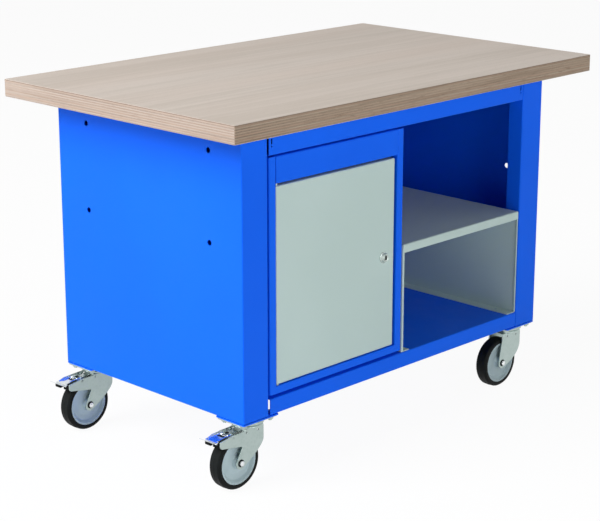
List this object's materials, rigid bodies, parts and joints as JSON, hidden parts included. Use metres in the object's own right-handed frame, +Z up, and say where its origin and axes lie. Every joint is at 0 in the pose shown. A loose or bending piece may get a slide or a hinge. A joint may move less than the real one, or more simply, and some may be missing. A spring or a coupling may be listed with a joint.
{
  "type": "mobile workbench",
  "caption": "Mobile workshop bench: thick multiplex worktop on a folded steel frame, with a lockable cabinet, an open compartment with a shelf, and braked swivel casters.",
  "frame": {"origin": "on the floor, under the centre of the worktop", "axes": "+X to the right along the bench's length, +Y to the rear, +Z up; the door faces -Y"},
  "size_m": [1.2, 0.75, 0.835],
  "materials": {
    "beech": "oiled beech multiplex, fine sanded",
    "blue_paint": "smooth powder coat, semi-gloss",
    "grey_paint": "smooth powder coat, semi-gloss",
    "zinc": "pressed steel, zinc plated",
    "chrome": "nickel plated, bright",
    "rim_plastic": "moulded polypropylene",
    "tyre": "solid rubber",
    "rubber": "moulded rubber"
  },
  "bodies": {
    "bench": {"worktop": "beech", "left_side_panel": "blue_paint", "right_side_panel": "blue_paint", "front_rail": "blue_paint", "rear_rail": "blue_paint", "base_panel": "blue_paint", "back_panel": "blue_paint", "cabinet_shell": "blue_paint", "cabinet_fascia": "blue_paint", "cabinet_shelf": "grey_paint", "shelf_bracket_left": "zinc", "shelf_bracket_right": "zinc", "shelf_insert": "grey_paint", "hinge_pin_upper": "zinc", "hinge_pin_lower": "zinc", "corner_plate_front_left": "blue_paint", "caster_plate_front_left": "zinc", "kingpin_front_left": "zinc", "corner_plate_rear_left": "blue_paint", "caster_plate_rear_left": "zinc", "kingpin_rear_left": "zinc", "corner_plate_front_right": "blue_paint", "caster_plate_front_right": "zinc", "kingpin_front_right": "zinc", "corner_plate_rear_right": "blue_paint", "caster_plate_rear_right": "zinc", "kingpin_rear_right": "zinc"},
    "door": {"door_panel": "grey_paint", "lock_housing": "chrome", "lock_nut": "zinc"},
    "lock": {"lock_plug": "chrome", "lock_cam": "zinc"},
    "caster_front_left": {"fork_front_left": "zinc", "axle_front_left": "chrome", "pedal_pin_front_left": "zinc"},
    "wheel_front_left": {"bush_front_left": "zinc", "rim_front_left": "rim_plastic", "tyre_front_left": "tyre"},
    "caster_rear_left": {"fork_rear_left": "zinc", "axle_rear_left": "chrome", "pedal_pin_rear_left": "zinc"},
    "wheel_rear_left": {"bush_rear_left": "zinc", "rim_rear_left": "rim_plastic", "tyre_rear_left": "tyre"},
    "caster_front_right": {"fork_front_right": "zinc", "axle_front_right": "chrome"},
    "wheel_front_right": {"bush_front_right": "zinc", "rim_front_right": "rim_plastic", "tyre_front_right": "tyre"},
    "caster_rear_right": {"fork_rear_right": "zinc", "axle_rear_right": "chrome"},
    "wheel_rear_right": {"bush_rear_right": "zinc", "rim_rear_right": "rim_plastic", "tyre_rear_right": "tyre"},
    "pedal_front_left": {"brake_pedal_front_left": "chrome", "brake_shoe_front_left": "rubber", "pedal_bumper_front_left": "rubber"},
    "pedal_rear_left": {"brake_pedal_rear_left": "chrome", "brake_shoe_rear_left": "rubber", "pedal_bumper_rear_left": "rubber"}
  },
  "joints": [
    {"name": "door_hinge", "type": "hinge", "parent": "bench", "child": "door", "pos_m": [-0.402, -0.292, 0.445], "axis": [0, 0, -1], "range_deg": [0, 105]},
    {"name": "lock_turn", "type": "hinge", "parent": "door", "child": "lock", "pos_m": [-0.0635, -0.297, 0.441], "axis": [0, -1, 0], "range_deg": [0, 90]},
    {"name": "swivel_front_left", "type": "hinge", "parent": "bench", "child": "caster_front_left", "pos_m": [-0.457, -0.256, 0.143], "axis": [0, 0, 1], "continuous": true},
    {"name": "spin_front_left", "type": "hinge", "parent": "caster_front_left", "child": "wheel_front_left", "pos_m": [-0.498, -0.256, 0.0625], "axis": [0, 1, 0], "continuous": true},
    {"name": "swivel_rear_left", "type": "hinge", "parent": "bench", "child": "caster_rear_left", "pos_m": [-0.457, 0.256, 0.143], "axis": [0, 0, 1], "continuous": true},
    {"name": "spin_rear_left", "type": "hinge", "parent": "caster_rear_left", "child": "wheel_rear_left", "pos_m": [-0.498, 0.256, 0.0625], "axis": [0, 1, 0], "continuous": true},
    {"name": "swivel_front_right", "type": "hinge", "parent": "bench", "child": "caster_front_right", "pos_m": [0.457, -0.256, 0.143], "axis": [0, 0, 1], "continuous": true},
    {"name": "spin_front_right", "type": "hinge", "parent": "caster_front_right", "child": "wheel_front_right", "pos_m": [0.416, -0.256, 0.0625], "axis": [0, 1, 0], "continuous": true},
    {"name": "swivel_rear_right", "type": "hinge", "parent": "bench", "child": "caster_rear_right", "pos_m": [0.457, 0.256, 0.143], "axis": [0, 0, 1], "continuous": true},
    {"name": "spin_rear_right", "type": "hinge", "parent": "caster_rear_right", "child": "wheel_rear_right", "pos_m": [0.416, 0.256, 0.0625], "axis": [0, 1, 0], "continuous": true},
    {"name": "brake_front_left", "type": "hinge", "parent": "caster_front_left", "child": "pedal_front_left", "pos_m": [-0.519, -0.256, 0.12737], "axis": [0, -1, 0], "range_deg": [0, 7]},
    {"name": "brake_rear_left", "type": "hinge", "parent": "caster_rear_left", "child": "pedal_rear_left", "pos_m": [-0.519, 0.256, 0.12737], "axis": [0, -1, 0], "range_deg": [0, 7]}
  ]
}
